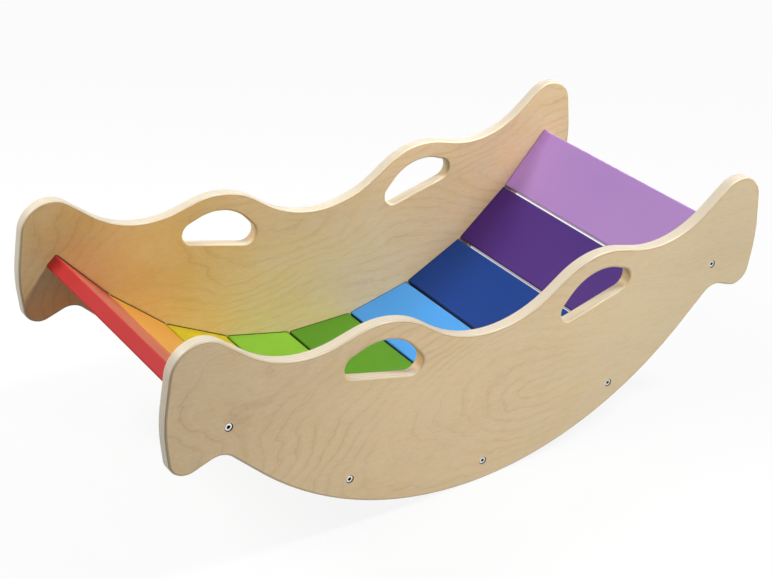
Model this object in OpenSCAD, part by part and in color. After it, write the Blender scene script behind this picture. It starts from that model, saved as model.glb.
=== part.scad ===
// Wooden rocker arch: two wavy plywood side panels carry nine painted boards in a hollow curve.
// X runs along the rocker, Y across it and +Z up. The origin is on the floor, under the middle.

/* [Overall size] */
// Length of a side panel over its two rounded ends; the side outline follows it in proportion
length = 1011; // [900:1:1120]
// Width over the outer faces of the two side panels
width = 450; // [380:5:520]

/* [Side panels] */
// Plywood thickness of a side panel
panel_t = 18; // [15:0.5:21]
// Radius of the rounded edges of the panels and their handle holes
panel_round = 3; // [1:0.5:4]
// Radius of the rocking edge
rocker_r = 532; // [520:1:535]
// Radius of the foot tip at each end of the rocking edge
foot_r = 26.5; // [25.5:0.5:30]
// Radius of the bulge on top of each end
bulge_r = 45; // [41:0.5:49]
// Radius of the hollow between an end bulge and the hump next to it
dip_r = 154.5; // [135:0.5:155.5]
// Radius of the hump over each handle
hump_r = 125; // [115:0.5:126]
// Height of the top edge over the floor in the middle of a panel
waist_h = 249.5; // [245:0.5:255]

/* [Handle holes] */
// Distance between the two rounded corners at the flat side of a hole, centre to centre
handle_grip = 94; // [80:1:98]
// Radius of the two corners at the flat side
handle_corner_r = 17.5; // [12:0.5:19]
// Height of a hole from its flat side to the top of its arch
handle_h = 55; // [50:0.5:58]
// Tilt of the flat side, which drops towards the middle of the panel
handle_tilt = 14.5; // [8:0.5:20]

/* [Boards] */
// Thickness of a board
board_t = 21; // [18:0.5:24]
// Width of a board
board_w = 115; // [100:0.5:115]
// Gap between the top edges of two neighbouring boards
board_gap = 3.5; // [3:0.5:5]
// Height of the middle board's top over the floor
seat_h = 42.5; // [38:0.5:50]
// Angle between one board and the next
board_step = 13.5; // [12:0.1:13.5]
// Angle between each outermost board and its neighbour
last_step = 7.5; // [6:0.1:9]
// Radius of the boards' long edges
board_round = 2.5; // [1:0.5:4]
// Depth of the housings in the panels' inner faces that take the boards' ends
housing_depth = 5; // [2:0.5:6]

/* [Fasteners] */
// Thread diameter of the socket-head bolts
bolt_d = 6; // [5:1:6]
// Length of a bolt under its head
bolt_l = 60; // [55:1:65]
// Distance from a panel's inner face to the middle of a cross-dowel nut
nut_inset = 38; // [34:1:42]
// Diameter of the cross-dowel nuts
nut_d = 10; // [9:0.5:12]
// Diameter of the wooden dowels
dowel_d = 8; // [6:1:10]
// Distance of a dowel from the middle of its board
dowel_off = 36; // [28:1:40]

/* [Hidden] */
$fn = 48;
SLATS = ["red", "orange", "yellow", "light_green", "green", "light_blue", "blue", "purple", "lilac"];
PAINTS = ["#d0202e", "#f0a02c", "#ecd02a", "#9ccb3b", "#57a12e", "#4fa3e6", "#27458f", "#5a3a82", "#b48cc8"];
SIDES = ["front", "back"];
MIDDLE = 4;
BOLTED = [for (n = [0:2:8]) n];

plain_length = 1011;
k = length / plain_length;
// Largest distance between an arc and its chords, and steps of a quarter-round edge
chord_error = 0.15;
round_steps = 3;
// Spare distance between the humps and the waist's hollow, which meet over a short straight
belt_slack = 1;
// Radius of a handle hole's arch as a share of the one that needs no straights
arch_share = 0.92;
// How far a cutter reaches past what it cuts
eps = 1;

// Socket-head bolt in proportion to its thread, and its seat in the panel
head_ratio = 5 / 3;
head_d = bolt_d * head_ratio;
head_h = bolt_d;
head_sunk = 1;
head_chamfer = 0.4;
socket_af = bolt_d - 1;
socket_depth = bolt_d / 2;
seat_play = 3.5;
seat_d = head_d + seat_play;
bolt_play = 0.6;
bolt_hole_d = bolt_d + bolt_play;
tip_room = 6;
bolt_bore_l = bolt_l + head_h + head_sunk + tip_room - panel_t;
nut_l = 14;
nut_play = 0.2;
thread_play = 0.1;
dowel_in_panel = 12;
dowel_in_board = 20;
dowel_play = 0.1;
glue_gap = 1;
board_end_round = 1;
housing_play = 1;
board_l = width - 2 * panel_t + 2 * housing_depth;

// A shape's edge is a belt round rollers [x, z, radius, turn], with turn 1 where the belt bends
// left round the roller and -1 where it bends right. Its points are [x, z, nx, nz], where nx and
// nz are the outward normal, so that an edge moves in by any distance and keeps its points.
function wrap360(a) = a - 360 * floor(a / 360);
function heading(a, b) =
    let (d = [b[0] - a[0], b[1] - a[1]])
    atan2(d[1], d[0]) + asin((a[3] * a[2] - b[3] * b[2]) / norm(d));
function arc_steps(r, turn) = max(1, ceil(abs(turn) / (2 * acos(1 - chord_error / r))));
function roller_arc(c, from, to) =
    let (turn = c[3] * wrap360(c[3] * (to - from)), steps = arc_steps(c[2], turn))
    [for (i = [0:steps])
        let (h = from + turn * i / steps, n = [sin(h), -cos(h)])
        [c[0] + c[3] * c[2] * n[0], c[1] + c[3] * c[2] * n[1], n[0], n[1]]];
function open_belt(rollers, first, last) =
    let (count = len(rollers),
         h = concat([first], [for (i = [0:count - 2]) heading(rollers[i], rollers[i + 1])], [last]))
    [for (i = [0:count - 1]) each roller_arc(rollers[i], h[i], h[i + 1])];
function closed_belt(rollers) =
    let (count = len(rollers),
         h = [for (i = [0:count - 1]) heading(rollers[i], rollers[(i + 1) % count])])
    [for (i = [0:count - 1]) each roller_arc(rollers[i], h[(i + count - 1) % count], h[i])];
// Radius of a hollow on the middle line, resting on a roller of radius r and its mirror image
function hollow_r(centre, r, low) =
    let (rise = low - centre[1])
    (pow(centre[0], 2) + rise * rise - r * r) / (2 * (r - rise));
// Radius of an arch of height h that closes over two corner rollers of radius r
function arch_r(half, r, h) = (half * half + h * h - 2 * h * r) / (2 * (h - 2 * r));
function ring(edge, inset, y) = [for (p = edge) [p[0] - inset * p[2], y, p[1] - inset * p[3]]];
// Inset and depth of each step of a quarter-round edge, from the face inwards
function quarter_round(r) =
    [for (i = [0:round_steps]) let (a = 90 * i / round_steps) [r * (1 - sin(a)), r * (1 - cos(a))]];

// Half of the side outline, from the bottom middle round the right end to the top middle
hump = [194 * k, 193.5 * k];
waist_r = hollow_r(hump, (hump_r + belt_slack) * k, waist_h * k);
side_rollers = [
    [0, rocker_r * k, rocker_r * k, 1],
    [432.5 * k, 169.5 * k, 29.5 * k, -1],
    [475.5 * k, 213.5 * k, foot_r * k, 1],
    [270.5 * k, 258.5 * k, 235 * k, 1],
    [452.5 * k, 326.5 * k, bulge_r * k, 1],
    [294.5 * k, 456 * k, dip_r * k, -1],
    [hump[0], hump[1], hump_r * k, 1],
    [0, waist_h * k + waist_r, waist_r, -1]
];
half_edge = open_belt(side_rollers, 0, 180);
side_edge = concat(half_edge,
    [for (i = [len(half_edge) - 2:-1:1]) let (p = half_edge[i]) [-p[0], p[1], -p[2], p[3]]]);

// D-shaped handle hole in its own frame, with its flat side along X
handle_x = 188 * k;
handle_z = 235.5 * k;
handle_arch_r = arch_share * arch_r(handle_grip / 2, handle_corner_r, handle_h);
handle_edge = closed_belt([
    [-handle_grip / 2, handle_corner_r, handle_corner_r, 1],
    [handle_grip / 2, handle_corner_r, handle_corner_r, 1],
    [0, handle_h - handle_arch_r, handle_arch_r, 1]
]);

// Board cross-section, with its top face at z = 0
corner_x = board_w * k / 2 - board_round;
board_edge = closed_belt([
    [-corner_x, board_round - board_t, board_round, 1],
    [corner_x, board_round - board_t, board_round, 1],
    [corner_x, -board_round, board_round, 1],
    [-corner_x, -board_round, board_round, 1]
]);

// Tilt of board n, and the middle of its top face as [x, z], one board after the other
function tilt(n) =
    let (i = n - MIDDLE, steps = min(abs(i), MIDDLE - 1), extra = max(0, abs(i) - MIDDLE + 1))
    sign(i) * (steps * board_step + extra * last_step);
function along(a) = [cos(a), sin(a)];
function place(n) =
    n == MIDDLE ? [0, seat_h * k]
    : n < MIDDLE ? let (p = place(2 * MIDDLE - n)) [-p[0], p[1]]
    : place(n - 1) + board_w * k / 2 * (along(tilt(n - 1)) + along(tilt(n)))
        + board_gap * along((tilt(n - 1) + tilt(n)) / 2);

// Faces between two ends of a lofted solid, whose rings go the same way round
function walls(count, rings) =
    [for (r = [0:rings - 2], i = [0:count - 1])
        let (j = (i + 1) % count)
        [r * count + i, r * count + j, (r + 1) * count + j, (r + 1) * count + i]];
// Triangles that fill the outline between its low and its high chain, both going to the right
function fill(points, low, high, i = 0, j = 0, done = []) =
    i == len(low) - 1 && j == len(high) - 1 ? done
    : let (take_low = j == len(high) - 1
               || (i < len(low) - 1 && points[low[i + 1]][0] <= points[high[j + 1]][0]),
           third = take_low ? low[i + 1] : high[j + 1],
           open = low[i] != high[j] && low[i] != third && high[j] != third)
      fill(points, low, high, take_low ? i + 1 : i, take_low ? j : j + 1,
           open ? concat(done, [[low[i], high[j], third]]) : done);
function reversed(list) = [for (i = [len(list) - 1:-1:0]) list[i]];
function moved(faces, by) = [for (f = faces) [for (v = f) v + by]];

// Solid lofted through rings of a convex outline
module convex_loft(rings) {
    count = len(rings[0]);
    start = [for (i = [0:count - 1]) i];
    last = moved([start], (len(rings) - 1) * count);
    polyhedron(
        points = [for (r = rings) each r],
        faces = concat([reversed(start)], walls(count, len(rings)), last));
}

// Solid lofted through rings of the side outline
module side_loft(rings) {
    count = len(rings[0]);
    widest = max([for (p = half_edge) p[0]]);
    right = [for (i = [0:len(half_edge) - 1]) if (half_edge[i][0] == widest) i][0];
    low = [for (i = [-right:right]) (i + count) % count];
    high = [for (i = [count - right:-1:right]) i];
    start = fill(rings[0], low, high);
    last = moved([for (f = start) reversed(f)], (len(rings) - 1) * count);
    polyhedron(
        points = [for (r = rings) each r],
        faces = concat(start, walls(count, len(rings)), last));
}

// Everything below is drawn on the front side and mirrored for the back
module on_side(side) {
    mirror([0, side == "back" ? 1 : 0, 0])
        translate([0, -width / 2, 0])
            children();
}

module at_board(n) {
    p = place(n);
    translate([p[0], 0, p[1]])
        rotate([0, -tilt(n), 0])
            children();
}

// Cylinder along +Y from y = from
module rod(d, from, l) {
    translate([0, from, 0])
        rotate([-90, 0, 0])
            cylinder(d = d, h = l);
}

// A handle hole with its edges rounded on both faces of the panel
module handle_hole() {
    flare = quarter_round(panel_round);
    inner = [for (s = reversed(flare)) ring(handle_edge, -s[0], panel_t - s[1])];
    convex_loft(concat(
        [ring(handle_edge, -panel_round, -eps)],
        [for (s = flare) ring(handle_edge, -s[0], s[1])],
        inner,
        [ring(handle_edge, -panel_round, panel_t + eps)]));
}

// Side panel with its outer face at y = 0 and its inner face at y = panel_t
module panel_blank() {
    steps = quarter_round(panel_round);
    side_loft(concat(
        [for (s = steps) ring(side_edge, s[0], s[1])],
        [for (s = reversed(steps)) ring(side_edge, s[0], panel_t - s[1])]));
}

module side_panel(side) {
    color("#dcc09a")
    on_side(side)
    difference() {
        panel_blank();
        for (end = [-1, 1])
            translate([end * handle_x, 0, handle_z])
                rotate([0, -end * handle_tilt, 0])
                    handle_hole();
        for (n = BOLTED)
            at_board(n) translate([0, 0, -board_t / 2]) {
                rod(bolt_hole_d, -eps, panel_t + 2 * eps);
                rod(seat_d, -eps, head_sunk + head_h + eps);
            }
        for (n = [0:len(SLATS) - 1])
            at_board(n) {
                convex_loft([for (y = [panel_t - housing_depth, panel_t + eps])
                    ring(board_edge, -housing_play, y)]);
                for (x = [-dowel_off, dowel_off])
                    translate([x, 0, -board_t / 2])
                        rod(dowel_d + dowel_play, panel_t - dowel_in_panel, dowel_in_panel);
            }
    }
}

// Board with its top face at z = 0 and its length along Y
module board() {
    steps = quarter_round(board_end_round);
    convex_loft([
        for (s = steps) ring(board_edge, s[0], s[1] - board_l / 2),
        for (s = reversed(steps)) ring(board_edge, s[0], board_l / 2 - s[1])
    ]);
}

// What is drilled into each end of a board, in the frame of the front panel's outer face
module board_bores(n) {
    end = panel_t - housing_depth - eps;
    translate([0, 0, -board_t / 2]) {
        for (x = [-dowel_off, dowel_off])
            translate([x, 0, 0])
                rod(dowel_d + dowel_play, end, panel_t + dowel_in_board + glue_gap - end);
        if (n % 2 == 0) {
            rod(bolt_hole_d, end, panel_t + bolt_bore_l - end);
            translate([0, panel_t + nut_inset, -board_t / 2 - eps])
                cylinder(d = nut_d + nut_play, h = board_t / 2 + nut_l / 2 + eps);
        }
    }
}

module slat(n) {
    color(PAINTS[n])
    at_board(n)
    difference() {
        board();
        for (side = SIDES) on_side(side) board_bores(n);
    }
}

module bolt(side, n) {
    color("silver")
    at_board(n) translate([0, 0, -board_t / 2])
    on_side(side) {
        difference() {
            union() {
                translate([0, head_sunk + head_chamfer, 0])
                    rotate([90, 0, 0])
                        cylinder(d1 = head_d, d2 = head_d - 2 * head_chamfer, h = head_chamfer);
                rod(head_d, head_sunk + head_chamfer, head_h - head_chamfer);
                rod(bolt_d, head_sunk + head_h, bolt_l);
            }
            translate([0, head_sunk - eps, 0])
                rotate([-90, 0, 0])
                    cylinder(d = socket_af / cos(30), h = socket_depth + eps, $fn = 6);
        }
    }
}

// Cross-dowel nut, pushed in from under the board as far as its hole goes
module nut(side, n) {
    color("lightgrey")
    at_board(n)
    on_side(side)
    translate([0, panel_t + nut_inset, -board_t / 2])
    difference() {
        translate([0, 0, -nut_l / 2]) cylinder(d = nut_d, h = nut_l);
        rod(bolt_d + thread_play, -nut_d, 2 * nut_d);
    }
}

module dowels(n) {
    color("burlywood")
    at_board(n) translate([0, 0, -board_t / 2])
    for (side = SIDES, x = [-dowel_off, dowel_off])
        on_side(side)
        translate([x, 0, 0])
            rod(dowel_d, panel_t - dowel_in_panel, dowel_in_panel + dowel_in_board);
}

for (side = SIDES)
    side_panel(side);
for (n = [0:len(SLATS) - 1])
    slat(n);
for (side = SIDES, n = BOLTED)
    bolt(side, n);
for (side = SIDES, n = BOLTED)
    nut(side, n);
for (n = [0:len(SLATS) - 1])
    dowels(n);
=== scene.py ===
"""Looks of the wooden rocker arch: plywood sides, painted boards, bolts, nuts and dowels.

Drawing values are in millimetres, as in the CAD. Objects, lights and textures are in metres.
"""

import math

import bmesh
import bpy
from mathutils import Matrix, Vector

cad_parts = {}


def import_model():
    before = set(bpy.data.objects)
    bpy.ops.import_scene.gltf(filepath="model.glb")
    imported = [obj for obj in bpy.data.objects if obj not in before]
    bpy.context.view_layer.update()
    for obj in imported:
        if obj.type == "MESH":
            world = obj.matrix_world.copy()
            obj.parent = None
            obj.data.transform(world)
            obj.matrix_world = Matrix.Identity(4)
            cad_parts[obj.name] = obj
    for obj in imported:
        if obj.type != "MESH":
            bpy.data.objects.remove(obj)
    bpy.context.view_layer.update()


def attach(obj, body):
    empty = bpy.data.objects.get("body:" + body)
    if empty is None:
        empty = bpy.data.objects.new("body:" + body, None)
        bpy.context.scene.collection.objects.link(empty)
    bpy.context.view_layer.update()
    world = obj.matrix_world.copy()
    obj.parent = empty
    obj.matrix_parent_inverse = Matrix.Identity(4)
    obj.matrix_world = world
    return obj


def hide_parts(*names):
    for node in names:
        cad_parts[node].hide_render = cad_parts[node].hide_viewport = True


MM = 0.001

# The CAD's drawing values
WIDTH = 450.0
PANEL_T = 18.0
PANEL_ROUND = 3.0
ROCKER_R = 532.0
HOLLOW = (432.5, 169.5)
HOLLOW_R = 29.5
FOOT = (475.5, 213.5)
FOOT_R = 26.5
END = (270.5, 258.5)
END_R = 235.0
BULGE = (452.5, 326.5)
BULGE_R = 45.0
DIP = (294.5, 456.0)
DIP_R = 154.5
HUMP = (194.0, 193.5)
HUMP_R = 125.0
WAIST_H = 249.5
BELT_SLACK = 1.0
HANDLE_AT = (188.0, 235.5)
HANDLE_GRIP = 94.0
HANDLE_CORNER_R = 17.5
HANDLE_H = 55.0
HANDLE_TILT = 14.5
ARCH_SHARE = 0.92
BOARD_T = 21.0
BOARD_W = 115.0
HOUSING_DEPTH = 5.0
HOUSING_PLAY = 1.0
BOARD_L = WIDTH - 2 * PANEL_T + 2 * HOUSING_DEPTH
BOARD_ROUND = 2.5
BOARD_END_ROUND = 1.0
BOARD_GAP = 3.5
BOARD_STEP = 13.5
LAST_STEP = 7.5
SEAT_H = 42.5
BOLT_D = 6.0
BOLT_L = 60.0
HEAD_D = 10.0
HEAD_H = 6.0
HEAD_SUNK = 1.0
HEAD_CHAMFER = 0.4
SOCKET_AF = 5.0
SOCKET_DEPTH = 3.0
BOLT_HOLE_D = 6.6
TIP_ROOM = 6.0
NUT_INSET = 38.0
NUT_D = 10.0
NUT_HOLE_D = 10.2
NUT_L = 14.0
DOWEL_D = 8.0
DOWEL_HOLE_D = 8.1
DOWELS_X = (-36.0, 36.0)
DOWEL_IN_PANEL = 12.0
DOWEL_IN_BOARD = 20.0
GLUE_GAP = 1.0
OVER = 1.0
# Bolts and dowels run halfway down in a board, whose top is at z = 0
BORE_Z = -BOARD_T / 2

SIDES = {"front": -1, "back": 1}
SLATS = ["red", "orange", "yellow", "light_green", "green", "light_blue", "blue", "purple", "lilac"]
MIDDLE = 4
BOLTED = range(0, len(SLATS), 2)

# How fine the curves are here
CHORD = 0.02
ROUND_STEPS = 8
END_STEPS = 4
BORE_SIDES = 64
SHARP_ANGLE = 32
# As in the photo, the housings lie a little to the right of their boards and the bolts' seats are
# narrower than the solids'
HOUSING_SHIFT = 0.9
SEAT_D = 11.8
SEAT_BREAK = 0.3

# Details of the small parts that only the scene has. Pairs are a depth and a width.
BOLT_SIDES = 36
SOCKET_TIP = (1.2, 0.3)
SOCKET_BEVEL = (0.35, 0.45)
CHAMFER_BULGE = 0.12
KNURL = 0.12
KNURL_MARGIN = 0.3
HEAD_FOOT_CHAMFER = (0.4, 0.25)
THREAD_L = 24
THREAD_PITCH = 1.0
THREAD_STEPS = 5
THREAD_DEPTH = 0.55
THREAD_END_TAPER = 0.2
NUT_SOFT = 0.4
NUT_THREAD_PLAY = 0.1
NUT_MOUTH_PLAY = 1.4
NUT_MOUTH = (4.4, 3.9)
NUT_SLOT_W = 1.6
NUT_SLOT_DEPTH = 1.6
DOWEL_SIDES = 48
DOWEL_SOFT = 0.8
FLUTE = 0.3
FLUTE_EVERY = 4


# ---- outlines ----

# A shape's edge is a belt round rollers (x, z, radius, turn). The turn is 1 where the belt bends left
# round the roller, and -1 where it bends right.

def heading(a, b):
    """Direction of the straight from roller a to roller b, in degrees."""
    dx, dz = b[0] - a[0], b[1] - a[1]
    lean = math.asin((a[3] * a[2] - b[3] * b[2]) / math.hypot(dx, dz))
    return math.degrees(math.atan2(dz, dx) + lean)


def roller_arc(roller, start, end):
    """Points (x, z, nx, nz) of the belt on one roller, with outward normals."""
    x, z, r, turn = roller
    swing = turn * ((turn * (end - start)) % 360)
    steps = max(1, math.ceil(abs(swing) / math.degrees(2 * math.acos(1 - CHORD / r))))
    points = []
    for i in range(steps + 1):
        h = math.radians(start + swing * i / steps)
        nx, nz = math.sin(h), -math.cos(h)
        points.append((x + turn * r * nx, z + turn * r * nz, nx, nz))
    return points


def open_belt(rollers, first, last):
    turns = [first, *(heading(a, b) for a, b in zip(rollers, rollers[1:])), last]
    return [p for i, r in enumerate(rollers) for p in roller_arc(r, turns[i], turns[i + 1])]


def closed_belt(rollers):
    turns = [heading(r, rollers[(i + 1) % len(rollers)]) for i, r in enumerate(rollers)]
    return [p for i, r in enumerate(rollers) for p in roller_arc(r, turns[i - 1], turns[i])]


def side_edge():
    """Outline of a side panel, anticlockwise from the bottom middle."""
    rise = WAIST_H - HUMP[1]
    reach = HUMP_R + BELT_SLACK
    waist_r = (HUMP[0] ** 2 + rise * rise - reach * reach) / (2 * (reach - rise))
    half = open_belt([
        (0, ROCKER_R, ROCKER_R, 1),
        (*HOLLOW, HOLLOW_R, -1),
        (*FOOT, FOOT_R, 1),
        (*END, END_R, 1),
        (*BULGE, BULGE_R, 1),
        (*DIP, DIP_R, -1),
        (*HUMP, HUMP_R, 1),
        (0, WAIST_H + waist_r, waist_r, -1),
    ], 0, 180)
    return half + [(-x, z, -nx, nz) for x, z, nx, nz in half[-2:0:-1]]


def handle_edge():
    """Outline of a handle hole in its own frame, with its flat side along X."""
    half, r, h = HANDLE_GRIP / 2, HANDLE_CORNER_R, HANDLE_H
    arch_r = ARCH_SHARE * (half * half + h * h - 2 * h * r) / (2 * (h - 2 * r))
    return closed_belt([(-half, r, r, 1), (half, r, r, 1), (0, h - arch_r, arch_r, 1)])


def board_edge():
    """Cross-section of a board with its top at z = 0."""
    r = BOARD_ROUND
    x = BOARD_W / 2 - r
    return closed_belt([(-x, r - BOARD_T, r, 1), (x, r - BOARD_T, r, 1), (x, -r, r, 1), (-x, -r, r, 1)])


def quarter_round(r, steps):
    """(inset, depth) of each step of a rounded edge, from the face inwards."""
    turns = [math.pi / 2 * i / steps for i in range(steps + 1)]
    return [(r * (1 - math.sin(a)), r * (1 - math.cos(a))) for a in turns]


def ring(edge, inset, y):
    return [(x - inset * nx, y, z - inset * nz) for x, z, nx, nz in edge]


def circle(d, y):
    turns = [2 * math.pi * i / BORE_SIDES for i in range(BORE_SIDES)]
    return [(d / 2 * math.cos(a), y, d / 2 * math.sin(a)) for a in turns]


def rod_rings(*steps):
    """Rings of a turned shape along Y from (diameter, y) steps."""
    return [circle(d, y) for d, y in steps]


def turned(y, *radii):
    """Ring of points round the Y axis, one radius after the other."""
    turns = [2 * math.pi * i / len(radii) for i in range(len(radii))]
    return [(r * math.sin(a), y, r * math.cos(a)) for a, r in zip(turns, radii)]


def hexagon(flats, sides):
    """Radii of a hexagon of that width over its flats, at evenly spaced angles."""
    turns = [2 * math.pi * i / sides for i in range(sides)]
    return [flats / 2 / math.cos((a + math.pi / 6) % (math.pi / 3) - math.pi / 6) for a in turns]


# ---- places ----

def moved(x=0.0, y=0.0, z=0.0):
    """Shift by millimetres."""
    return Matrix.Translation((x * MM, y * MM, z * MM))


def upright():
    """Turns what is along Y to run along Z."""
    return Matrix.Rotation(math.pi / 2, 4, "X")


def tilt(n):
    """Degrees by which board n rises to the right."""
    i = n - MIDDLE
    steps = min(abs(i), MIDDLE - 1)
    return math.copysign(steps * BOARD_STEP + (abs(i) - steps) * LAST_STEP, i) if i else 0.0


def along(angle):
    return Vector((math.cos(math.radians(angle)), 0, math.sin(math.radians(angle))))


def place(n):
    """Middle of the top face of board n."""
    if n == MIDDLE:
        return Vector((0, 0, SEAT_H))
    if n < MIDDLE:
        p = place(2 * MIDDLE - n)
        return Vector((-p.x, 0, p.z))
    half = BOARD_W / 2 * (along(tilt(n - 1)) + along(tilt(n)))
    return place(n - 1) + half + BOARD_GAP * along((tilt(n - 1) + tilt(n)) / 2)


def at_board(n, z=0.0, y=0.0, turned=False):
    """Frame of board n in metres, or a point of it, turned to face the other way."""
    spin = Matrix.Rotation(math.pi, 4, "Z") if turned else Matrix.Identity(4)
    lean = Matrix.Rotation(-math.radians(tilt(n)), 4, "Y")
    return Matrix.Translation(place(n) * MM) @ lean @ moved(y=y, z=z) @ spin


# ---- meshes ----

def loft(rings):
    """Closed mesh through rings of equal length, in millimetres."""
    bm = bmesh.new()
    rows = [[bm.verts.new(Vector(p) * MM) for p in r] for r in rings]
    count = len(rows[0])
    for a, b in zip(rows, rows[1:]):
        for i in range(count):
            j = (i + 1) % count
            bm.faces.new((a[i], a[j], b[j], b[i]))
    bm.faces.new(rows[0])
    bm.faces.new(rows[-1])
    bmesh.ops.recalc_face_normals(bm, faces=bm.faces)
    mesh = bpy.data.meshes.new("loft")
    bm.to_mesh(mesh)
    bm.free()
    return mesh


def joined(meshes):
    """One mesh of several (mesh, matrix) pairs."""
    bm = bmesh.new()
    for mesh, matrix in meshes:
        part = mesh.copy()
        part.transform(matrix)
        if matrix.determinant() < 0:
            part.flip_normals()
        bm.from_mesh(part)
        bpy.data.meshes.remove(part)
    mesh = bpy.data.meshes.new("joined")
    bm.to_mesh(mesh)
    bm.free()
    return mesh


def cut(mesh, *cutters):
    """mesh minus each cutter, one after the other."""
    for cutter in cutters:
        body = bpy.data.objects.new("body", mesh)
        tool = bpy.data.objects.new("tool", cutter)
        for o in (body, tool):
            bpy.context.scene.collection.objects.link(o)
        change = body.modifiers.new("cut", "BOOLEAN")
        change.operation = "DIFFERENCE"
        change.solver = "EXACT"
        change.object = tool
        graph = bpy.context.evaluated_depsgraph_get()
        mesh = bpy.data.meshes.new_from_object(body.evaluated_get(graph))
        bpy.data.objects.remove(body)
        bpy.data.objects.remove(tool)
    return mesh


def piece(name, mesh, material, nodes, matrix=None):
    """Finished piece of the object, standing for CAD nodes."""
    o = bpy.data.objects.new(name, mesh)
    bpy.context.scene.collection.objects.link(o)
    if matrix is not None:
        o.matrix_world = matrix
    mesh.materials.clear()
    mesh.materials.append(material)
    mesh.shade_smooth()
    mesh.set_sharp_from_angle(angle=math.radians(SHARP_ANGLE))
    normals = o.modifiers.new("normals", "WEIGHTED_NORMAL")
    normals.keep_sharp = True
    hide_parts(*nodes)
    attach(o, "root")


# ---- side panels and boards ----

def handle_cutters():
    """Both handle holes, whose flat sides drop towards the middle."""
    edge = handle_edge()
    flare = quarter_round(PANEL_ROUND, ROUND_STEPS)
    rings = [ring(edge, -PANEL_ROUND, -OVER)]
    rings += [ring(edge, -inset, depth) for inset, depth in flare]
    rings += [ring(edge, -inset, PANEL_T - depth) for inset, depth in reversed(flare)]
    rings.append(ring(edge, -PANEL_ROUND, PANEL_T + OVER))
    hole = loft(rings)
    cutters = []
    for end in (-1, 1):
        lean = Matrix.Rotation(-math.radians(end * HANDLE_TILT), 4, "Y")
        spot = Matrix.Translation(Vector((end * HANDLE_AT[0], 0, HANDLE_AT[1])) * MM)
        cutters.append((hole, spot @ lean))
    return cutters


def seat_cutters():
    """Bores and seats for the bolts."""
    seat = loft(rod_rings(
        (SEAT_D + 2 * (SEAT_BREAK + OVER), -OVER), (SEAT_D, SEAT_BREAK), (SEAT_D, HEAD_SUNK + HEAD_H),
        (BOLT_HOLE_D, HEAD_SUNK + HEAD_H), (BOLT_HOLE_D, PANEL_T + OVER)))
    return [(seat, at_board(n, z=BORE_Z)) for n in BOLTED]


def dowel_cutters():
    hole = loft(rod_rings((DOWEL_HOLE_D, PANEL_T - DOWEL_IN_PANEL), (DOWEL_HOLE_D, PANEL_T + OVER)))
    return [(hole, at_board(n, z=BORE_Z) @ moved(x=x)) for n in range(len(SLATS)) for x in DOWELS_X]


def housing_cutters():
    ends = (PANEL_T - HOUSING_DEPTH, PANEL_T + OVER)
    housing = loft([ring(board_edge(), -HOUSING_PLAY, y) for y in ends])
    return [(housing, moved(x=HOUSING_SHIFT) @ at_board(n)) for n in range(len(SLATS))]


def side_mesh():
    """Side panel with its outer face at y = 0 and its inner face at y = PANEL_T."""
    edge = side_edge()
    steps = quarter_round(PANEL_ROUND, ROUND_STEPS)
    blank = loft([ring(edge, inset, depth) for inset, depth in steps]
                 + [ring(edge, inset, PANEL_T - depth) for inset, depth in reversed(steps)])
    holes = handle_cutters() + seat_cutters() + dowel_cutters()
    return cut(blank, joined(housing_cutters()), joined(holes))


def board_mesh(bolted):
    """Board with its top at z = 0 and its length along Y."""
    edge = board_edge()
    steps = quarter_round(BOARD_END_ROUND, END_STEPS)
    end, face = BOARD_L / 2, WIDTH / 2 - PANEL_T
    blank = loft([ring(edge, inset, depth - end) for inset, depth in steps]
                 + [ring(edge, inset, end - depth) for inset, depth in reversed(steps)])
    dowel = loft(rod_rings((DOWEL_HOLE_D, -end - OVER), (DOWEL_HOLE_D, -face + DOWEL_IN_BOARD + GLUE_GAP)))
    bolt_end = BOLT_L + HEAD_H + HEAD_SUNK + TIP_ROOM - PANEL_T
    bolt = loft(rod_rings((BOLT_HOLE_D, -end - OVER), (BOLT_HOLE_D, -face + bolt_end)))
    nut = loft(rod_rings((NUT_HOLE_D, -OVER), (NUT_HOLE_D, BOARD_T / 2 + NUT_L / 2)))
    nut.transform(moved(y=NUT_INSET - face, z=-BOARD_T) @ upright())
    bores, crosses = [], []
    for side in (1, -1):
        mirror = Matrix.Scale(side, 4, (0, 1, 0))
        bores += [(dowel, mirror @ moved(x=x, z=BORE_Z)) for x in DOWELS_X]
        if bolted:
            bores.append((bolt, mirror @ moved(z=BORE_Z)))
            crosses.append((nut, mirror))
    tools = [joined(bores)] + ([joined(crosses)] if bolted else [])
    return cut(blank, *tools)


def sides_and_boards(looks):
    panel = side_mesh()
    for side, sign in SIDES.items():
        turn = moved(y=sign * WIDTH / 2) @ Matrix.Scale(-sign, 4, (0, 1, 0))
        piece(f"side_{side}", joined([(panel, turn)]), looks["plywood"], [f"panel_{side}"])
    boards = {True: board_mesh(True), False: board_mesh(False)}
    for n, name in enumerate(SLATS):
        slot = f"paint_{name}"
        mesh = boards[n in BOLTED].copy()
        piece(f"board_{name}", mesh, looks[slot], [f"slat_{name}"], at_board(n))


# ---- bolts, nuts and dowels ----

def disc(y, radius):
    return turned(y, *[radius] * BOLT_SIDES)


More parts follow.
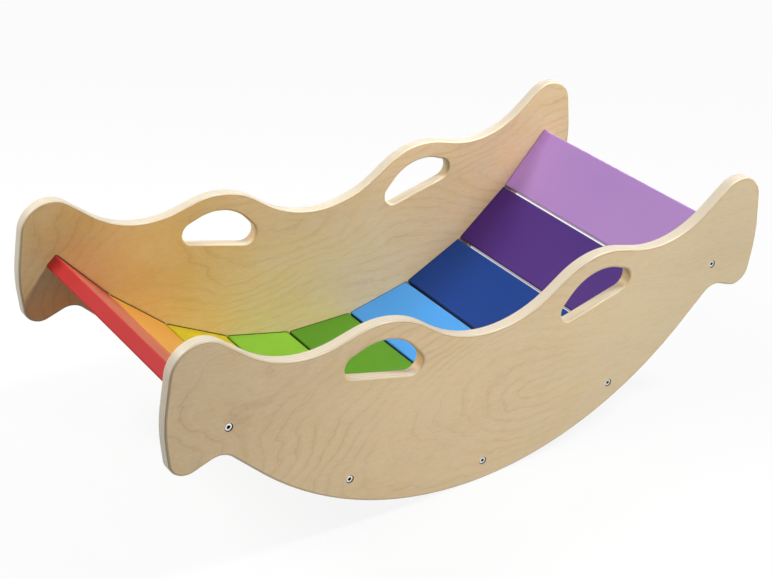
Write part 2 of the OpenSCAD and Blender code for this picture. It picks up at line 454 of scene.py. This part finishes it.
def bolt_head_rings():
    """From the bottom of the socket over the top of the head, which is at y = 0, to its underside."""
    head = HEAD_D / 2
    socket = hexagon(SOCKET_AF, BOLT_SIDES)
    knurl = [head - KNURL * (i % 2) for i in range(BOLT_SIDES)]
    foot_depth, foot_inset = HEAD_FOOT_CHAMFER
    return [
        disc(SOCKET_DEPTH + SOCKET_TIP[0], SOCKET_TIP[1]),
        turned(SOCKET_DEPTH, *socket),
        turned(SOCKET_BEVEL[0], *socket),
        disc(0, SOCKET_AF / 2 + SOCKET_BEVEL[1]),
        disc(0, head - HEAD_CHAMFER),
        disc(CHAMFER_BULGE, head - CHAMFER_BULGE),
        disc(HEAD_CHAMFER, head),
        turned(HEAD_CHAMFER + KNURL_MARGIN, *knurl),
        turned(HEAD_H - foot_depth, *knurl),
        disc(HEAD_H, head - foot_inset),
        disc(HEAD_H, BOLT_D / 2),
    ]


def thread_rings():
    """A groove that winds down to the bolt's end, and gets deeper over its first turn."""
    r = BOLT_D / 2
    start = HEAD_H + BOLT_L - THREAD_L
    rings = []
    for i in range(int((THREAD_L - 1) / THREAD_PITCH * THREAD_STEPS) + 1):
        y = start + i * THREAD_PITCH / THREAD_STEPS
        run_in = min(1.0, i / THREAD_STEPS)
        wave = [abs((y / THREAD_PITCH - j / BOLT_SIDES) % 1 - 0.5) * 2 for j in range(BOLT_SIDES)]
        rings.append(turned(y, *(r - THREAD_DEPTH * run_in * w for w in wave)))
    rings.append(disc(HEAD_H + BOLT_L, r - THREAD_DEPTH - THREAD_END_TAPER))
    return rings


def bolt_mesh():
    """Socket-head bolt along Y, with the top of its head at y = 0."""
    return loft(bolt_head_rings() + thread_rings())


def nut_mesh():
    """Cross-dowel nut along Z round the origin, with a screwdriver slot in its lower end."""
    half = NUT_L / 2
    barrel = loft(rod_rings((NUT_D - 2 * NUT_SOFT, -half), (NUT_D, NUT_SOFT - half),
                            (NUT_D, half - NUT_SOFT), (NUT_D - 2 * NUT_SOFT, half)))
    barrel.transform(upright())
    bore, mouth = BOLT_D + NUT_THREAD_PLAY, BOLT_D + NUT_MOUTH_PLAY
    wide_at, narrow_at = NUT_MOUTH
    hole = loft(rod_rings((mouth, -NUT_D), (mouth, -wide_at), (bore, -narrow_at),
                          (bore, narrow_at), (mouth, wide_at), (mouth, NUT_D)))
    x, low, high = NUT_SLOT_W / 2, -half - OVER, NUT_SLOT_DEPTH - half
    slot = loft([[(-x, y, low), (x, y, low), (x, y, high), (-x, y, high)] for y in (-NUT_D, NUT_D)])
    return cut(barrel, hole, slot)


def dowel_mesh():
    """Fluted dowel along Y, from its end in the side panel to its end in the board."""
    full = [DOWEL_D / 2] * DOWEL_SIDES
    soft = [r - DOWEL_SOFT for r in full]
    flutes = [r - (FLUTE if i % FLUTE_EVERY == FLUTE_EVERY - 1 else 0) for i, r in enumerate(full)]
    length = DOWEL_IN_PANEL + DOWEL_IN_BOARD
    return loft([turned(0, *soft), turned(DOWEL_SOFT, *flutes),
                 turned(length - DOWEL_SOFT, *flutes), turned(length, *soft)])


def fasteners(looks):
    bolt, nut, dowel = bolt_mesh(), nut_mesh(), dowel_mesh()
    for side, sign in SIDES.items():
        for n in BOLTED:
            name, back = SLATS[n], sign > 0
            head_y = sign * (WIDTH / 2 - HEAD_SUNK)
            piece(f"socket_bolt_{side}_{name}", bolt.copy(), looks["bolt_steel"], [f"bolt_{side}_{name}"],
                  at_board(n, z=BORE_Z, y=head_y, turned=back))
            nut_y = sign * (WIDTH / 2 - PANEL_T - NUT_INSET)
            piece(f"barrel_nut_{side}_{name}", nut.copy(), looks["nut_steel"], [f"nut_{side}_{name}"],
                  at_board(n, z=BORE_Z, y=nut_y, turned=back))
    start = -WIDTH / 2 + PANEL_T - DOWEL_IN_PANEL
    four = [(dowel, Matrix.Rotation(turn, 4, "Z") @ moved(x=x, y=start))
            for turn in (0, math.pi) for x in DOWELS_X]
    for n, name in enumerate(SLATS):
        piece(f"fluted_dowels_{name}", joined(four), looks["dowel_wood"], [f"dowels_{name}"],
              at_board(n, z=BORE_Z))


# ---- shader nodes ----

class Graph:
    """Shorthand for the nodes of a material or of the world. Inputs may be sockets or values."""

    def __init__(self, owner):
        self.owner = owner
        owner.use_nodes = True
        self.tree = owner.node_tree
        self.tree.nodes.clear()

    def add(self, kind, *inputs, out=0, named=None, **settings):
        node = self.tree.nodes.new("ShaderNode" + kind)
        for key, value in settings.items():
            setattr(node, key, value)
        for key, value in [*enumerate(inputs), *(named or {}).items()]:
            if isinstance(value, bpy.types.NodeSocket):
                self.tree.links.new(value, node.inputs[key])
            else:
                node.inputs[key].default_value = value
        return node.outputs[out] if node.outputs else None

    def math(self, operation, *inputs, clamp=False):
        return self.add("Math", *inputs, operation=operation, use_clamp=clamp)

    def chain(self, operation, first, *others):
        for other in others:
            first = self.math(operation, first, other)
        return first

    def plus(self, *values):
        return self.chain("ADD", *values)

    def times(self, *values):
        return self.chain("MULTIPLY", *values)

    def minus(self, a, b):
        return self.math("SUBTRACT", a, b)

    def rest(self, value):
        """What the value leaves of 1."""
        return self.math("SUBTRACT", 1.0, value)

    def more(self, a, b):
        """1 where a is more than b, and 0 elsewhere."""
        return self.math("GREATER_THAN", a, b)

    def less(self, a, b):
        """1 where a is less than b, and 0 elsewhere."""
        return self.math("LESS_THAN", a, b)

    def absolute(self, value):
        return self.math("ABSOLUTE", value)

    def here(self):
        """Place in the object's own frame."""
        return self.add("TexCoord", out=3)

    def split(self, vector):
        """X, Y and Z of a vector."""
        return list(self.add("SeparateXYZ", vector).node.outputs)

    def vector(self, x=0.0, y=0.0, z=0.0):
        return self.add("CombineXYZ", x, y, z)

    def length(self, vector):
        return self.add("VectorMath", vector, operation="LENGTH", out=1)

    def noise(self, where, scale=1.0, detail=2.0, rough=0.5):
        named = {"Vector": where, "Scale": scale, "Detail": detail, "Roughness": rough}
        return self.add("TexNoise", named=named)

    def ramp(self, value, *stops, smooth=False):
        """Value through (position, level) stops."""
        node = self.tree.nodes.new("ShaderNodeValToRGB")
        band = node.color_ramp
        band.interpolation = "EASE" if smooth else "LINEAR"
        while len(band.elements) < len(stops):
            band.elements.new(1)
        for element, (position, level) in zip(band.elements, stops):
            element.position = position
            element.color = (level, level, level, 1)
        self.tree.links.new(value, node.inputs[0])
        return node.outputs[0]

    def blend(self, factor, a, b, how="MIX"):
        named = {"Factor": factor, 6: a, 7: b}
        return self.add("Mix", named=named, out=2, data_type="RGBA", blend_type=how)

    def tinted(self, factor, color, tint):
        """The colour times the tint, as far as the factor says."""
        return self.blend(factor, color, tint, how="MULTIPLY")

    def finish(self, color, roughness, bump, bump_strength=0.2, bump_distance=0.0001, **values):
        relief = {"Height": bump, "Strength": bump_strength, "Distance": bump_distance}
        normal = self.add("Bump", named=relief)
        named = {"Base Color": color, "Roughness": roughness, "Normal": normal, **values}
        self.add("OutputMaterial", self.add("BsdfPrincipled", named=named))
        return self.owner


def material_graph(name):
    return Graph(bpy.data.materials.new(name))


def rgba(r, g, b):
    return (r, g, b, 1.0)


def shade(rgb, factor, lift=0.0):
    """The colour times a factor, plus a lift."""
    return rgba(*(factor * c + lift for c in rgb))


# ---- plywood ----

# The faces' veneer, and the casts that tint it in places
FACE_DARK = rgba(0.654, 0.438, 0.223)
FACE_LIGHT = rgba(0.826, 0.635, 0.381)
TINT = rgba(1.0, 0.98, 0.90)
COOL = rgba(0.865, 0.91, 0.955)
# Painted warm light, as bounced from the red and orange boards, strongest on the far panel's inner face
WARM_BOUNCE_LIGHT = rgba(0.95, 0.90, 0.63)
# Painted warm bounce light in the shade under the red board's left end
LOW_BOUNCE_LIGHT = rgba(1.25, 0.94, 0.72)
# The edges, from pale long grain to darker end grain, and what lies on them
EDGE_PALE = rgba(0.650, 0.604, 0.490)
EDGE_END = rgba(0.505, 0.407, 0.278)
GLUE = rgba(0.30, 0.20, 0.11)
VENEER = rgba(0.80, 0.60, 0.33)
VENEER_LINE = rgba(0.34, 0.23, 0.11)
SCORCH = rgba(0.70, 0.495, 0.235)
# Painted shade in the bolts' seats, for the shadowed gap round each head
SEAT_SHADE = rgba(0.10, 0.065, 0.035)
SEAT_MARGIN = 0.1
PLIES = 9
FAR_INNER = 3.0
# How far end grain, streaks and glue darken the plies. A seam's ramp goes from a ply's middle to its
# side.
END_SHARE = 0.9
STREAK_SHARE = 0.25
GLUE_SHARE = 0.35
SEAM = ((0.0, 0.0), (0.44, 0.0), (0.49, 1.0))
# Scorch by how far the wall faces along X, and what the pale plies are spared of it
SCORCHED = ((0.15, 0.0), (0.6, 1.0))
SCORCH_SPARED = 0.35
# By millimetres from the face: where the face ends, where the edge's veneer does, and how strong the
# two lines beside it are. The handle holes' walls are spared a part of the lines.
FACE_END = ((0.006, 1.0), (0.012, 0.0))
VENEER_END = ((0.45, 1.0), (0.75, 0.0))
VENEER_LINES = ((0.006, 0.0), (0.012, 1.0), (0.07, 1.0), (0.12, 0.0), (0.4, 0.0), (0.55, 0.8), (0.75, 0.0))
LINES_SPARED = 0.7

# To the right of FADE_X the near panel's rings fade and its colour cools. Round the x below it the
# panels get painted warm light, as bounced from the red and orange boards, and the far one's inner face
# most. Both are in metres.
FADE_X = -0.15
BOUNCE_X = -0.33

# Growth rings: where the log's heart shows on the first veneer and how far it shifts to the next
# one, in metres, and rings per metre along the panel and up it
HEART = (0.06, 0.13)
HEART_STEP = (-0.06, 0.037)
RINGS_ALONG = 30
RINGS_UP = 55
# How many rings the two noises bend them by
BEND = 12.0
RIPPLE = 1.1
# Brightness through one ring and through one of the hairlines, which are finer than the rings
RING_TONE = ((0.0, 0.0), (0.05, 0.55), (0.2, 0.85), (0.65, 1.0), (0.93, 0.55), (1.0, 0.0))
HAIR_TONE = ((0.0, 0.0), (0.15, 0.8), (0.7, 1.0), (1.0, 0.0))
HAIRS_PER_RING = 3.3
HAIR_SHARE = 0.2
# How clear the rings are: by metres right of FADE_X on the near panel, by metres right of the middle
# on the far one, and by the noise of the patches
NEAR_CLEAR = ((0.1, 1.0), (0.42, 0.2))
FAR_CLEAR = ((0.08, 0.0), (0.2, 0.4))
FAR_LOSS = 0.15
PATCHES = ((0.36, 0.2), (0.62, 1.0))
# Shares of the growth lines, flecks and clouds in the face's brightness, and what goes off it
GROWTH_TONE = 0.6
FLECK_TONE = 0.8
CLOUD_TONE = 0.6
TONE_OFF = 0.42
# The face's relief and lacquer
GROWTH_RELIEF = 0.4
FLECK_RELIEF = 0.6
FACE_RELIEF = 0.06
FACE_ROUGH = ((0.3, 0.36), (0.7, 0.46))
COAT = {"Coat Weight": 0.15, "Coat Roughness": 0.3}
# Where the casts are: spots by their noise, and the others by metres
SPOTS = ((0.4, 0.0), (0.6, 1.0))
SPOTS_NEAR = 0.65
SPOTS_MORE_FAR = 0.35
COOLING = ((0.0, 0.0), (0.55, 1.0))
BOUNCE_REACH = ((0.06, 1.0), (0.24, 0.0))
# The painted warm light under the red board, by metres left and up
TIP_LEFT = ((0.40, 0.0), (0.44, 1.0))
TIP_UP = ((0.21, 1.0), (0.26, 0.0))

# Waves per metre of each noise, along the panel and up it
BEND_SCALE = (3.0, 6.0)
RIPPLE_SCALE = (30.0, 50.0)
PATCH_SCALE = (8.0, 12.0)
HUE_SCALE = (26.0, 40.0)
FLECK_SCALE = (70.0, 420.0)
CLOUD_SCALE = (3.0, 11.0)
STREAK_SCALE = (60.0, 1500.0, 60.0)
# Places of the noises on the first veneer, and steps to the next veneer and to the patches
SEED = 36.5
SEED_STEP = 7.3
PATCH_SEED = 3.1

# The handle holes' walls, in millimetres: how far their middle is over the flat sides' middle, and
# how far they reach round it. The fade, by metres up, keeps them apart from the top edges.
WALL_UP = 22.5
WALL_REACH = 77.0
WALL_FADE = ((0.272, 1.0), (0.288, 0.0))


class PanelPoint:
    """Sockets that say where a point of the side panels is."""

    def __init__(self, g):
        self.g = g
        self.x, self.y, self.z = g.split(g.here())
        self.far = g.more(self.y, 0.0)
        self.depth = g.minus(WIDTH / 2 * MM, g.absolute(self.y))
        # millimetres from the nearer face
        self.rim = g.times(g.math("MINIMUM", self.depth, g.minus(PANEL_T * MM, self.depth)), 1 / MM)
        # 0 and 1 on the near panel's outer and inner half, and 2 and FAR_INNER on the far one's
        self.veneer = g.plus(g.times(self.far, 2.0), g.more(self.depth, PANEL_T / 2 * MM))
        self.seed = g.plus(g.times(self.veneer, SEED_STEP), SEED)
        self.faded = g.times(g.minus(self.x, FADE_X), g.rest(self.far))

    def noise(self, scale, seed=None, **settings):
        """Noise with its own pattern on each veneer."""
        g = self.g
        seed = self.seed if seed is None else g.plus(self.seed, seed)
        return g.noise(g.vector(g.times(self.x, scale[0]), seed, g.times(self.z, scale[1])), **settings)


def ring_count(g, p):
    """Counts the growth rings, which are wavy arcs round the heart's line. It runs to the right."""
    heart_x = g.plus(g.times(p.veneer, HEART_STEP[0]), HEART[0])
    heart_z = g.plus(g.times(p.veneer, HEART_STEP[1]), HEART[1])
    left = g.math("MAXIMUM", g.minus(heart_x, p.x), 0.0)
    rings = g.length(g.vector(g.times(left, RINGS_ALONG), 0.0, g.times(g.minus(p.z, heart_z), RINGS_UP)))
    bend = p.noise(BEND_SCALE, detail=1.0, rough=0.4)
    ripple = p.noise(RIPPLE_SCALE)
    return g.plus(rings, g.times(bend, BEND), g.times(ripple, RIPPLE))


def growth_lines(g, p):
    """Less than 1 on the growth lines and on the hairlines between them."""
    count = ring_count(g, p)
    rings = g.ramp(g.math("FRACT", count), *RING_TONE)
    hairs = g.ramp(g.math("FRACT", g.times(count, HAIRS_PER_RING)), *HAIR_TONE)
    near = g.ramp(p.faded, *NEAR_CLEAR, smooth=True)
    far = g.minus(g.ramp(p.x, *FAR_CLEAR), FAR_LOSS)
    strength = g.plus(near, g.times(p.far, far))
    patches = g.ramp(p.noise(PATCH_SCALE, PATCH_SEED), *PATCHES)
    growth = g.rest(g.times(patches, strength, g.rest(rings)))
    return g.minus(growth, g.times(strength, g.rest(hairs), HAIR_SHARE))


def with_casts_and_bounce_light(g, p, face):
    """The face's colour, yellower in spots, cooler to the right on the near panel, and with painted warm
    light bounced from the red and orange boards, also in the shade under the red board.
    """
    spots = g.ramp(p.noise(HUE_SCALE), *SPOTS)
    face = g.tinted(g.times(spots, g.plus(SPOTS_NEAR, g.times(p.far, SPOTS_MORE_FAR))), face, TINT)
    face = g.tinted(g.ramp(p.faded, *COOLING), face, COOL)
    # painted warm light bounced from the red and orange boards
    bounce_light = g.ramp(g.absolute(g.minus(p.x, BOUNCE_X)), *BOUNCE_REACH, smooth=True)
    face = g.tinted(g.times(bounce_light, g.math("DIVIDE", p.veneer, FAR_INNER)), face, WARM_BOUNCE_LIGHT)
    # painted warm bounce light in the shade under the red board, on the far inner face
    tip = g.ramp(g.times(p.x, -1.0), *TIP_LEFT, smooth=True)
    low = g.ramp(p.z, *TIP_UP, smooth=True)
    return g.tinted(g.times(tip, low, g.more(p.veneer, FAR_INNER - 0.5)), face, LOW_BOUNCE_LIGHT)


def ply_colors(g, p, ply, even, across, upward):
    """Plies with pale long grain and darker end grain, between thin lines of glue."""
    share = g.add("Mix", named={0: even, 2: across, 3: upward}, data_type="FLOAT")
    end_grain = g.math("DIVIDE", share, g.math("MAXIMUM", g.plus(across, upward), 0.05))
    streak = g.noise(g.vector(*(g.times(v, s) for v, s in zip((p.x, p.y, p.z), STREAK_SCALE))))
    edge = g.blend(g.times(end_grain, END_SHARE), EDGE_PALE, EDGE_END)
    edge = g.blend(g.times(streak, STREAK_SHARE), edge, EDGE_END)
    seam = g.ramp(g.math("PINGPONG", g.plus(ply, 0.5), 0.5), *SEAM)
    return g.blend(g.times(seam, GLUE_SHARE), edge, GLUE)


def handle_walls(g, p):
    """1 on the walls of the handle holes and 0 on the outer edges."""
    hole_x = g.minus(g.absolute(p.x), HANDLE_AT[0] * MM)
    hole_z = g.minus(p.z, (HANDLE_AT[1] + WALL_UP) * MM)
    near = g.less(g.length(g.vector(hole_x, 0.0, hole_z)), WALL_REACH * MM)
    return g.times(near, g.ramp(p.z, *WALL_FADE))


def edge_color(g, p):
    """Colour of the edges. Every second ply has its grain along Z, and the others along X."""
    ply = g.times(p.depth, PLIES / (PANEL_T * MM))
    even = g.math("PINGPONG", g.math("FLOOR", ply), 1.0)
    normal = g.split(g.add("NewGeometry", out=1))
    across, upward = g.absolute(normal[0]), g.absolute(normal[2])
    edge = ply_colors(g, p, ply, even, across, upward)

    # the router left brown marks on the end grain of the handle holes
    walls = handle_walls(g, p)
    mark = g.times(g.ramp(across, *SCORCHED), walls)
    edge = g.blend(g.times(mark, g.rest(g.times(even, SCORCH_SPARED))), edge, SCORCH)

    # the face's own veneer shows on the rounded edge, between two thin lines
    edge = g.blend(g.ramp(p.rim, *VENEER_END), edge, VENEER)
    line = g.ramp(p.rim, *VENEER_LINES)
    return g.blend(g.times(line, g.rest(g.times(walls, LINES_SPARED))), edge, VENEER_LINE)


def shaded_bolt_seats(g, p):
    """1 in the bolts' seats, which get painted shade for the shadowed gap round each head."""
    flat = g.vector(p.x, 0.0, p.z)
    nearest = 1.0
    for n in BOLTED:
        axis = at_board(n, z=BORE_Z).translation
        off = g.add("VectorMath", flat, (axis.x, 0.0, axis.z), operation="DISTANCE", out=1)
        nearest = g.math("MINIMUM", nearest, off)
    return g.less(nearest, (SEAT_D / 2 + SEAT_MARGIN) * MM)


def plywood():
    """Rotary-cut birch faces with growth rings, and plies that show on the edges. The faces carry painted
    warm bounce light, and the bolts' seats painted shade.
    """
    g = material_graph("plywood")
    p = PanelPoint(g)
    growth = growth_lines(g, p)
    fleck = p.noise(FLECK_SCALE, detail=3, rough=0.65)
    cloud = p.noise(CLOUD_SCALE, detail=3)
    tone = g.minus(g.plus(g.times(growth, GROWTH_TONE), g.times(fleck, FLECK_TONE)), TONE_OFF)
    tone = g.math("ADD", tone, g.times(cloud, CLOUD_TONE), clamp=True)
    face = with_casts_and_bounce_light(g, p, g.blend(tone, FACE_DARK, FACE_LIGHT))
    color = g.blend(g.ramp(p.rim, *FACE_END), edge_color(g, p), face)
    # painted shade in the bolts' seats
    color = g.blend(shaded_bolt_seats(g, p), color, SEAT_SHADE)
    relief = g.plus(g.times(fleck, FLECK_RELIEF), g.times(growth, GROWTH_RELIEF))
    return g.finish(color, g.ramp(cloud, *FACE_ROUGH), relief, FACE_RELIEF, **COAT)


# ---- paint, steel and beech ----

PAINT = {
    "red": (0.415, 0.0175, 0.0172),
    "orange": (0.585, 0.266, 0.0375),
    "yellow": (0.448, 0.357, 0.0075),
    "light_green": (0.157, 0.356, 0.0199),
    "green": (0.062, 0.195, 0.0064),
    "light_blue": (0.0518, 0.2475, 0.58),
    "blue": (0.0019, 0.0325, 0.189),
    "purple": (0.052, 0.0124, 0.157),
    "lilac": (0.361, 0.198, 0.483),
}
SHEEN = {
    "Specular IOR Level": 0.2,
    "Sheen Weight": 0.16,
    "Sheen Roughness": 0.25,
    "Sheen Tint": rgba(1.0, 0.85, 0.6),
}
# Waves per metre of the noises, across the board and along it
PAINT_GRAIN = (260.0, 9.0)
PAINT_CLOUD = (9.0, 5.0)
PAINT_PEEL = 900.0
# The lilac board's far end is lighter, as in the photo: painted light, as bounced from the far panel, from
# and to a place along it in metres
FAR_END_BOUNCE_LIGHT = rgba(1.36, 1.3, 1.42)
FAR_END_LIGHT_FADE = ((0.175, 0.0), (0.199, 1.0))
# Gaps between boards, counted from the left, whose flanks get painted shade, as these deep gaps lie in
# shadow. The flanks in the others are glossier, and mirror the white under them.
SHADED_GAPS = 6
FLANK_DEPTH = 1.4
# Painted shade starts this many millimetres before a housing, and is this share of the paint's colour
HOUSING_SHADE_LEAD = 0.6
PAINTED_SHADE_LEVEL = 0.06
# Painted shade in a gap, by the depth under the board's top in steps of 4 mm
GAP_STEP = 4.0
GAP_FADE = ((0.25, 0.0), (0.55, 1.0))
GAP_SHARE = 0.9
# Shares of grain and roller in the tone between a darker and a lighter shade, and of grain and peel
# in the relief
GRAIN_TONE = 0.35
CLOUD_IN_PAINT = 0.65
PAINT_LOW = 0.93
PAINT_HIGH = (1.05, 0.003)
GRAIN_RELIEF = 0.5
PEEL_RELIEF = 0.5
PAINT_RELIEF = 0.12
PAINT_ROUGH = ((0.3, 0.36), (0.7, 0.44))
UNDER_DULLER = 0.17
FLANK_GLOSSIER = 0.26

BOLT_TINT = (0.80, 0.81, 0.83)
NUT_TINT = (0.66, 0.66, 0.64)
STEEL_MARKS = 2600.0
STEEL_BLOTS = 350.0
# Painted shade in a bolt's socket, where the deep hexagon lies in shadow, from and to a depth, and how far
# it reaches beside the hexagon's flats
SOCKET_SHADE = rgba(0.012, 0.013, 0.016)
SOCKET_SHADE_DEPTHS = (0.3, SOCKET_DEPTH + 1.3)
SOCKET_SHADE_ASIDE = 0.42
BEECH_DARK = rgba(0.50, 0.33, 0.19)
BEECH_LIGHT = rgba(0.66, 0.47, 0.30)
BEECH_SCALE = (1600.0, 160.0, 1600.0)


def on_flank(g, x):
    """1 where x is at a board's long side."""
    return g.more(x, (BOARD_W / 2 - FLANK_DEPTH) * MM)


def painted_shade_places(g, n, x, y, z):
    """1 where shade is painted: on the flanks in the narrow gaps between boards, and on the ends in the
    housings.
    """
    right = g.times(x, 1.0 if n < SHADED_GAPS else 0.0)
    left = g.times(x, -1.0 if 0 < n <= SHADED_GAPS else 0.0)
    flank = on_flank(g, g.math("MAXIMUM", right, left))
    gap = g.times(flank, g.ramp(g.times(z, -1 / GAP_STEP / MM), *GAP_FADE))
    housing_shade = g.more(g.absolute(y), (WIDTH / 2 - PANEL_T - HOUSING_SHADE_LEAD) * MM)
    return g.math("MAXIMUM", g.times(gap, GAP_SHARE), housing_shade)


def satin(g, n, x, z, cloud):
    """The paint's roughness: duller on the underside, and glossy on flanks that see white."""
    under = g.less(z, (BOARD_ROUND - BOARD_T) * MM)
    dull = g.plus(g.ramp(cloud, *PAINT_ROUGH), g.times(under, UNDER_DULLER))
    glossy = on_flank(g, g.times(x, -1.0 if n > SHADED_GAPS else 0.0))
    return g.minus(dull, g.times(glossy, FLANK_GLOSSIER))


def paint(name, rgb):
    """Satin paint with a trace of the roller and of the grain along the board, painted shade in the dark
    gaps and the housings, and painted light on the lilac board's far end.
    """
    g = material_graph(f"paint_{name}")
    at = g.here()
    x, y, z = g.split(at)
    n = SLATS.index(name)
    grain = g.noise(g.vector(g.times(x, PAINT_GRAIN[0]), g.times(y, PAINT_GRAIN[1]), float(n)), detail=3)
    cloud = g.noise(g.vector(g.times(x, PAINT_CLOUD[0]), g.times(y, PAINT_CLOUD[1]), float(n)))
    peel = g.noise(at, scale=PAINT_PEEL)
    tone = g.plus(g.times(grain, GRAIN_TONE), g.times(cloud, CLOUD_IN_PAINT))
    color = g.blend(tone, shade(rgb, PAINT_LOW), shade(rgb, *PAINT_HIGH))
    if name == "lilac":
        # painted light against the shade next to the far panel
        color = g.tinted(g.ramp(y, *FAR_END_LIGHT_FADE), color, FAR_END_BOUNCE_LIGHT)
    # painted shade on the flanks in the dark gaps and on the ends in the housings
    painted_shade = painted_shade_places(g, n, x, y, z)
    color = g.blend(painted_shade, color, shade(rgb, PAINTED_SHADE_LEVEL))
    roughness = g.math("MAXIMUM", satin(g, n, x, z, cloud), painted_shade)
    relief = g.plus(g.times(grain, GRAIN_RELIEF), g.times(peel, PEEL_RELIEF))
    return g.finish(color, roughness, relief, PAINT_RELIEF, **SHEEN)


def in_socket(g, at):
    """1 inside a bolt's socket, below its bevel."""
    x, y, z = g.split(at)
    narrow = g.less(g.length(g.vector(x, 0.0, z)), (SOCKET_AF / 2 + SOCKET_SHADE_ASIDE) * MM)
    top, bottom = SOCKET_SHADE_DEPTHS
    deep = g.math("COMPARE", y, (top + bottom) / 2 * MM, (bottom - top) / 2 * MM)
    return g.times(narrow, deep)


def steel(name, tint, rough_low, rough_high, socket=False):
    """Zinc-plated steel with turning marks and small blotches, and painted shade in a bolt's socket."""
    g = material_graph(name)
    at = g.here()
    marks = g.noise(at, scale=STEEL_MARKS)
    blot = g.noise(at, scale=STEEL_BLOTS, detail=3)
    color = g.blend(blot, shade(tint, 0.86), rgba(*tint))
    if socket:
        # painted shade deep in the socket
        color = g.blend(in_socket(g, at), color, SOCKET_SHADE)
    roughness = g.ramp(blot, (0.3, rough_low), (0.7, rough_high))
    return g.finish(color, roughness, marks, 0.15, 0.00005, Metallic=1.0)


def beech():
    """Plain beech of the dowels, with flecks along the grain."""
    g = material_graph("dowel_wood")
    fleck = g.noise(g.vector(*(g.times(v, s) for v, s in zip(g.split(g.here()), BEECH_SCALE))), detail=3)
    color = g.blend(fleck, BEECH_DARK, BEECH_LIGHT)
    return g.finish(color, g.ramp(fleck, (0.3, 0.6), (0.7, 0.75)), fleck)


def materials():
    """Every material of the object, by its slot."""
    return {
        "plywood": plywood(),
        **{f"paint_{name}": paint(name, rgb) for name, rgb in PAINT.items()},
        "bolt_steel": steel("bolt_steel", BOLT_TINT, 0.22, 0.34, socket=True),
        "nut_steel": steel("nut_steel", NUT_TINT, 0.32, 0.45),
        "dowel_wood": beech(),
    }


# ---- stage ----

# The photo's camera, as solved from the outlines, the boards' corners and the bolts
CAMERA_AT = (-1.179573, -1.561513, 1.299218)
CAMERA_TURN = (59.6186, -1.9168, -33.8747)
SENSOR_W = 36
LENS = 70.48
SHIFT = (0.04768, 0.03597)

WHITE = rgba(1, 1, 1)
FLOOR_PALE = rgba(0.8, 0.8, 0.8)
FLOOR_DULL = rgba(0.3, 0.3, 0.3)
FLOOR_HALF = 30
FLOOR_FADE = 5.0
SKY = 0.05
OBJECT_MIDDLE = (0, 0, 0.2)


def camera():
    data = bpy.data.cameras.new("camera")
    data.sensor_width = SENSOR_W
    data.lens = LENS
    data.shift_x, data.shift_y = SHIFT
    o = bpy.data.objects.new("camera", data)
    o.location = CAMERA_AT
    o.rotation_euler = [math.radians(a) for a in CAMERA_TURN]
    bpy.context.scene.collection.objects.link(o)
    bpy.context.scene.camera = o


def area_light(name, at, size, watts, toward=OBJECT_MIDDLE, spread=180):
    data = bpy.data.lights.new(name, "AREA")
    data.shape = "DISK"
    data.size = size
    data.energy = watts
    data.spread = math.radians(spread)
    o = bpy.data.objects.new(name, data)
    o.visible_camera = False
    o.location = at
    o.rotation_euler = (Vector(toward) - Vector(at)).to_track_quat("-Z", "Y").to_euler()
    bpy.context.scene.collection.objects.link(o)


def lights():
    """A key from the right and two from the left, and small ones that fill the inside and the front."""
    area_light("key", (1.74, -1.0, 3.0), 0.6, 79)
    area_light("top_left", (-1.3, 0.1, 3.0), 1.0, 27.8)
    area_light("back_left", (-1.6, 0.9, 2.0), 0.8, 42.4)
    area_light("inside_right", (1.4, -0.4, 1.2), 0.6, 0.41, (0.35, 0.2, 0.25), 30)
    area_light("inside_middle", (1.4, -0.4, 1.2), 0.6, 0.6, (0.1, 0.2, 0.15), 30)
    area_light("inside_left", (1.1, -0.8, 2.2), 0.5, 0.35, (-0.35, 0.2, 0.22), 40)
    area_light("low_front", (0.2, -1.4, 0.15), 0.3, 5.2, (0.04, 0, 0.09))


def seen_rays(g):
    """1 for the camera's and mirrors' view, and 0 for light that bounces on."""
    path = g.add("LightPath").node.outputs
    seen = g.math("ADD", path["Is Camera Ray"], path["Is Glossy Ray"], clamp=True)
    return g.math("ADD", seen, path["Is Transmission Ray"], clamp=True)


def floor():
    """Pale floor with the object's shadow, which is white further off."""
    mesh = bpy.data.meshes.new("floor")
    s = FLOOR_HALF
    mesh.from_pydata([(-s, -s, 0), (s, -s, 0), (s, s, 0), (-s, s, 0)], [], [(0, 1, 2, 3)])
    o = bpy.data.objects.new("floor", mesh)
    bpy.context.scene.collection.objects.link(o)
    g = material_graph("floor")
    pale = g.add("BsdfDiffuse", FLOOR_PALE)
    white = g.add("Emission", WHITE, 1.0)
    dull = g.add("BsdfDiffuse", FLOOR_DULL)
    away = g.math("DIVIDE", g.length(g.here()), FLOOR_FADE)
    share = g.ramp(away, (0.25, 0.9), (0.75, 1.0), smooth=True)
    g.add("OutputMaterial", g.add("MixShader", seen_rays(g), dull, g.add("MixShader", share, pale, white)))
    mesh.materials.append(g.owner)


def studio():
    """White where it is seen, and faint for the light that bounces on."""
    world = bpy.data.worlds.new("studio")
    bpy.context.scene.world = world
    g = Graph(world)
    soft = g.add("Background", WHITE, SKY)
    white = g.add("Background", WHITE, 1.0)
    g.add("OutputWorld", g.add("MixShader", seen_rays(g), soft, white))
    bpy.context.scene.view_settings.view_transform = "Standard"


def main():
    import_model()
    looks = materials()
    sides_and_boards(looks)
    fasteners(looks)
    camera()
    floor()
    studio()
    lights()


main()
